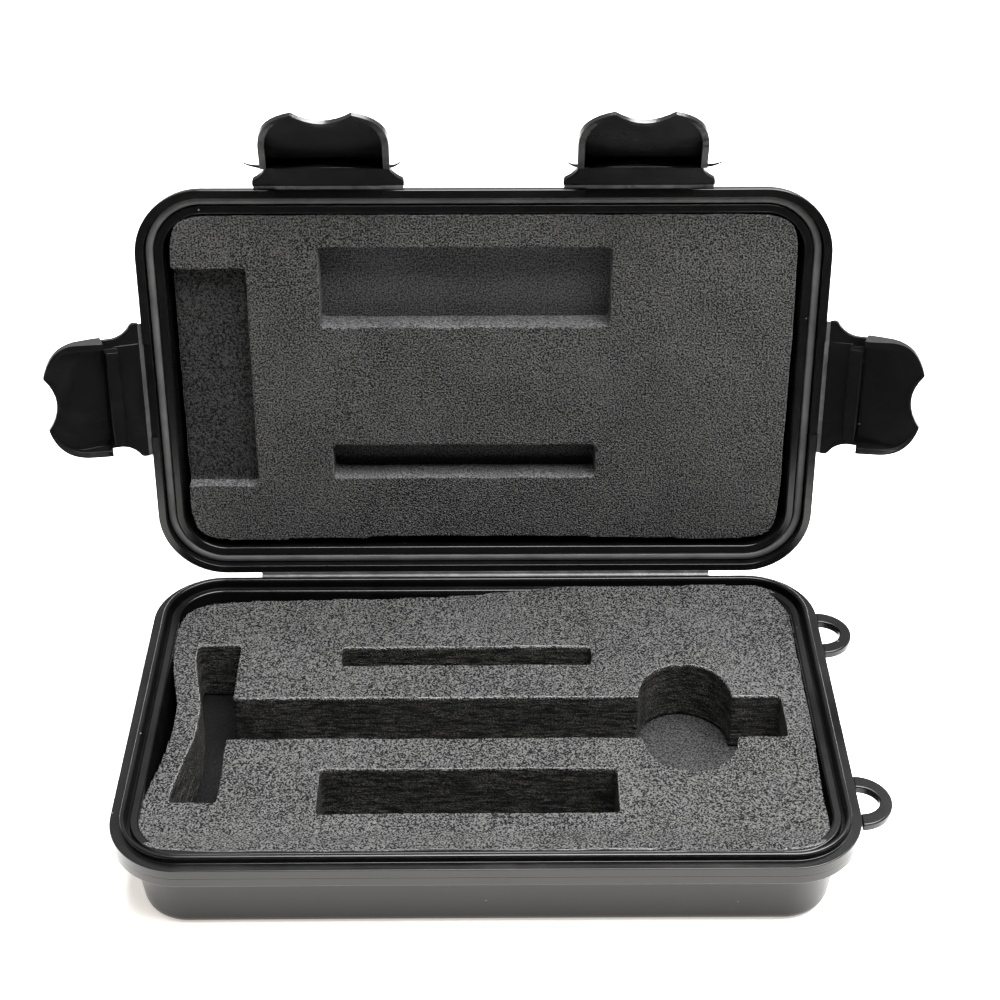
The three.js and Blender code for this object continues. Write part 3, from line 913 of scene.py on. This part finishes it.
def make_base_foam(top_material, cut_material):
    """The tub's die-cut insert. It stands proud at the front and the back right, and bows in at the left."""
    outline = smooth_outline([
        (72.4, 40.6), (68, 44.2), (58, 44.6), (40, 44.4), (20, 44.1), (8, 43.8), (-1, 42.9), (-11, 42.4),
        (-21, 42.0), (-31, 41.7), (-41, 41.4), (-52, 41.2), (-62, 40.8), (-69, 39.6), (-72.4, 36.8),
        (-74.1, 31.6), (-74.2, 26), (-73.8, 20.5), (-73.1, 15.1), (-72, 9.8), (-71, 4.6), (-70.6, -0.5),
        (-70.6, -5.5), (-71.2, -10.4), (-71.8, -15.3), (-72.8, -20), (-73.7, -24.6), (-74.2, -29.2),
        (-74.4, -34), (-74.2, -39), (-71.5, -42.6), (-66, -44.0), (-50, -44.2), (-25, -44.2), (0, -44.1),
        (25, -44.3), (50, -44.6), (66, -44.6), (71.5, -42.4), (73.2, -38), (73.0, -32), (73.0, -22.5),
        (73.4, -15), (73.7, -7), (73.8, 5), (73.7, 20), (74.0, 30), (73.8, 36),
    ], 2)
    left, right, front_end, back_end = HEAD_SLOT
    head_slot = [(right, back_end), (right, front_end)]
    for step in range(17):
        y = front_end + (back_end - front_end) * step / 16
        head_slot.append((left + HEAD_SLOT_BOW * math.cos((y + 2) / 27 * math.pi / 2) ** 2, y))
    pocket_sides = (POCKET_X - POCKET_RADIUS, POCKET_X + POCKET_RADIUS)
    cuts = [
        head_slot,
        rounded_rectangle(*HANDLE_SLOT),
        disc(POCKET_X, POCKET_BACK, POCKET_RADIUS),
        disc(POCKET_X, POCKET_FRONT, POCKET_RADIUS),
        rounded_rectangle(*pocket_sides, POCKET_FRONT, POCKET_BACK, 0.1),
        rounded_rectangle(*SMALL_SLOT),
        rounded_rectangle(*WIDE_SLOT),
    ]
    cutters = [prism(points, BASE_FOAM_FOOT - 2, BASE_FOAM_TOP + 3) for points in cuts]

    def shape(points):
        x, y, z = points.T
        share = np.clip((z - BASE_FOAM_FOOT) / (BASE_FOAM_TOP - BASE_FOAM_FOOT), 0, 1)
        # Below the rim the block is squeezed inside the tapered walls.
        squeeze = 1 - smoothstep((z - 17) / 4)
        long_edge = smoothstep((np.abs(y) - 36) / 5)
        short_edge = smoothstep((np.abs(x) - 69) / 3)
        points[:, 1] -= np.sign(y) * squeeze * (0.9 + 0.8 * (1 - share)) * long_edge
        points[:, 0] -= np.sign(x) * squeeze * (0.6 + 0.8 * (1 - share)) * short_edge
        # The top stands proud along the front and at the back right.
        front = smoothstep((-36.5 - y) / 7)
        back = smoothstep((y - 37) / 7) * smoothstep((x + 12) / 34)
        lift = FOAM_PROUD * np.maximum(front * 0.95, back)
        points[:, 2] += lift * share
        ripple = np.array([noise.noise(Vector((a * 0.045, b * 0.045, 0))) for a, b in zip(x, y)])
        points[:, 2] += 0.22 * ripple * share
        return points

    obj = foam_block("foam_base", outline, BASE_FOAM_FOOT, BASE_FOAM_TOP, cutters, FOAM_VOXEL, shape,
                     cut_material, top_material)
    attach(obj, "base")
    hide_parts("base_foam_insert")


def make_pad(name, node, body, low, high, inset, matrix, cut_material, top_material):
    """A plain foam sheet that closes the bottom of the cut-outs."""
    outline = rim_outline(inset)
    obj = foam_block(name, outline, low, high, [], PAD_VOXEL, None, cut_material, top_material)
    obj.matrix_world = matrix
    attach(obj, body)
    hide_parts(node)


def make_lid_foam(top_material, cut_material):
    """The lid's insert, with two pockets and a notch open to the left."""
    outline = smooth_outline([
        (71.2, 38.2), (68, 40.6), (60, 41.3), (30, 40.6), (0, 39.9), (-30, 40.5), (-60, 41.3), (-68, 40.6),
        (-71.6, 37.6), (-72.4, 30), (-72.4, 0), (-72.4, -32), (-71.4, -40), (-68, -42.2), (-60, -42.6),
        (0, -42.6), (60, -42.6), (68, -42.2), (71.6, -39.5), (72.4, -32), (72.4, 0), (72.2, 30),
    ], 2)
    below = LID_FOAM_FACE - 3
    beyond = LID_FOAM_BACK + 2.2
    wide_pocket = prism(rounded_rectangle(*LID_WIDE_POCKET, 0.8), below, beyond)
    small_pocket = prism(rounded_rectangle(*LID_SMALL_POCKET, 0.8), below, beyond)
    notch = prism(rounded_rectangle(*LID_NOTCH), below, LID_NOTCH_DEPTH)

    def shape(points):
        x, y, z = points.T
        # Only the face ripples; the back lies flat on the pad.
        share = np.clip((LID_FOAM_BACK - z) / (LID_FOAM_BACK - LID_FOAM_FACE), 0, 1)
        ripple = np.array([noise.noise(Vector((a * 0.045, b * 0.045, 5))) for a, b in zip(x, y)])
        points[:, 2] += 0.15 * ripple * share
        return points

    obj = foam_block("foam_lid", outline, LID_FOAM_FACE, LID_FOAM_BACK,
                     [wide_pocket, small_pocket, notch], FOAM_VOXEL, shape, cut_material, top_material)
    obj.matrix_world = lid_matrix()
    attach(obj, "lid")
    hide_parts("lid_foam_insert")


# ---------------------------------------------------------------- moulded details kept from the CAD

def soften(node, material, width, angle=25):
    """Rounds the edges of a CAD node and gives it its plastic."""
    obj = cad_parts[node]
    obj.data.materials.clear()
    obj.data.materials.append(material)
    weld = obj.modifiers.new("weld", "WELD")
    weld.merge_threshold = 1e-6
    planar = obj.modifiers.new("planar", "DECIMATE")
    planar.decimate_type = "DISSOLVE"
    planar.angle_limit = math.radians(1.5)
    bevel = obj.modifiers.new("bevel", "BEVEL")
    bevel.width = width * MM
    bevel.segments = 3
    bevel.limit_method = "ANGLE"
    bevel.angle_limit = math.radians(angle)
    bevel.harden_normals = False
    obj.data.shade_smooth()
    weighted = obj.modifiers.new("weighted", "WEIGHTED_NORMAL")
    weighted.keep_sharp = False
    weighted.weight = 90


# ---------------------------------------------------------------- the scene

make_camera()
make_studio()

shell_plastic = plastic("shell_plastic_look", 0.0026, 0.2, 0.5, False)
latch_plastic = plastic("latch_plastic_look", 0.002, 0.24, 1.2, True, 0.55)
web_plastic = plastic("web_plastic_look", 0.05, 0.3, 0.9, True)
seal_rubber = rubber("seal_rubber_look")
foam_face = foam("foam_face", (0.002, 0.002, 0.002), (0.084, 0.083, 0.082))
# The lid face holds painted shade on its notch floor.
lid_face = foam("foam_lid_face", (0.004, 0.004, 0.004), (0.070, 0.069, 0.068), painted_shade_above=4.6)
# The tub's cut walls carry painted light: a pale band along their top edge.
base_cut = foam("foam_base_cut", (0.018, 0.0172, 0.016), (0.082, 0.079, 0.074), 0.0006,
                striated=True, painted_light_edge=(20.2, 0.8, 0.15))
lid_cut = foam("foam_lid_cut", (0.025, 0.025, 0.025), (0.115, 0.115, 0.115), 0.0006)
# The tub's pad darkens towards its left end, under the head slot: painted shade.
pad_face = foam("pad_face", (0.006, 0.006, 0.0062), (0.034, 0.034, 0.035), 0.0004, painted_shade_left=True)
lid_pad_face = foam("lid_pad_face", (0.012, 0.012, 0.0122), (0.062, 0.062, 0.063), 0.0004)

make_base_shell(shell_plastic)
make_lid_shell(shell_plastic)
make_gasket(seal_rubber)
make_hinge_strap(web_plastic)
make_latch_films(web_plastic)
make_flash(latch_plastic)
make_base_foam(foam_face, base_cut)
make_pad("pad_base", "base_foam_pad", "base", BASE_PAD_FOOT, BASE_PAD_TOP, 8.2, Matrix.Identity(4),
         base_cut, pad_face)
make_lid_foam(lid_face, lid_cut)
make_pad("pad_lid", "lid_foam_pad", "lid", LID_PAD_FACE, LID_PAD_BACK, 9.2, lid_matrix(),
         lid_cut, lid_pad_face)
for name, *_ in latch_seats():
    soften(name, latch_plastic, 0.14)
for name in ("lanyard_loop_rear", "lanyard_loop_front"):
    soften(name, shell_plastic, 0.35)

bpy.context.view_layer.update()
